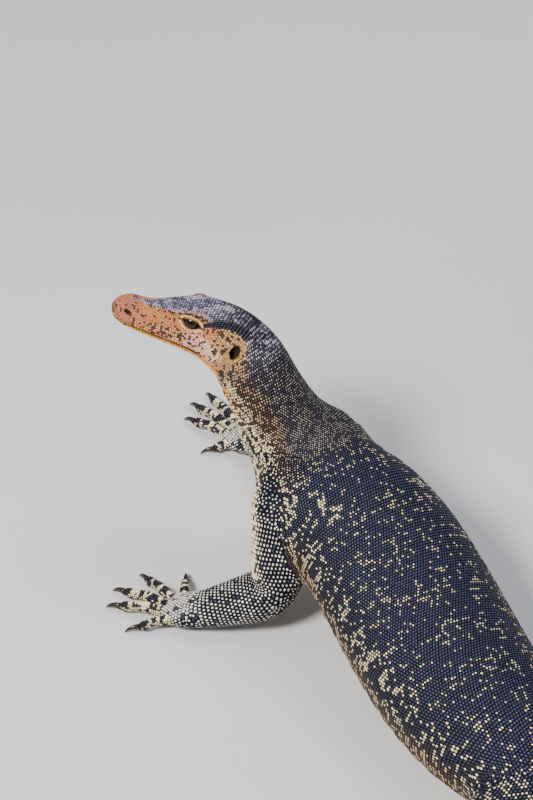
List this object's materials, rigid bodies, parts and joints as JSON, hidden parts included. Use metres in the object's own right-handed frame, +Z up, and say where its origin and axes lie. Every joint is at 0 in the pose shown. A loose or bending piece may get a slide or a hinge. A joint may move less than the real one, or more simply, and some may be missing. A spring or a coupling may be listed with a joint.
{
  "type": "water monitor lizard",
  "caption": "Life-size still model of a water monitor lizard: chest raised on its arms, neck and head up, belly and long tail lying along the floor.",
  "frame": {"origin": "on the floor, under the middle of the whole animal's box, tail included", "axes": "+Z up from the floor; +X towards the tail tip, so the head faces -X; the left side of the animal faces -Y"},
  "size_m": [1.2414, 0.7215, 0.2112],
  "materials": {
    "head_skin": "fine scales, slate crown, tan and orange cheeks",
    "neck_skin": "small bead scales, dark with tan dots",
    "body_skin": "bead scales, blue-black with cream spots",
    "limb_skin": "bead scales, blue-black with white beads",
    "claw": "horn, dark brown, half gloss",
    "eye": "wet gloss"
  },
  "bodies": {
    "root": {"head": "head_skin", "eye_left": "eye", "eye_right": "eye", "neck": "neck_skin", "torso": "body_skin", "tail_base": "body_skin", "tail_upper": "body_skin", "tail_middle": "body_skin", "tail_lower": "body_skin", "tail_tip": "body_skin", "arm_left_upper": "limb_skin", "arm_left_lower": "limb_skin", "arm_left_hand": "limb_skin", "arm_left_claw_1": "claw", "arm_left_claw_2": "claw", "arm_left_claw_3": "claw", "arm_left_claw_4": "claw", "arm_left_claw_5": "claw", "arm_right_upper": "limb_skin", "arm_right_lower": "limb_skin", "arm_right_hand": "limb_skin", "arm_right_claw_1": "claw", "arm_right_claw_2": "claw", "arm_right_claw_3": "claw", "arm_right_claw_4": "claw", "arm_right_claw_5": "claw", "leg_left_upper": "limb_skin", "leg_left_lower": "limb_skin", "leg_left_foot": "limb_skin", "leg_left_claw_1": "claw", "leg_left_claw_2": "claw", "leg_left_claw_3": "claw", "leg_left_claw_4": "claw", "leg_left_claw_5": "claw", "leg_right_upper": "limb_skin", "leg_right_lower": "limb_skin", "leg_right_foot": "limb_skin", "leg_right_claw_1": "claw", "leg_right_claw_2": "claw", "leg_right_claw_3": "claw", "leg_right_claw_4": "claw", "leg_right_claw_5": "claw"}
  },
  "joints": []
}
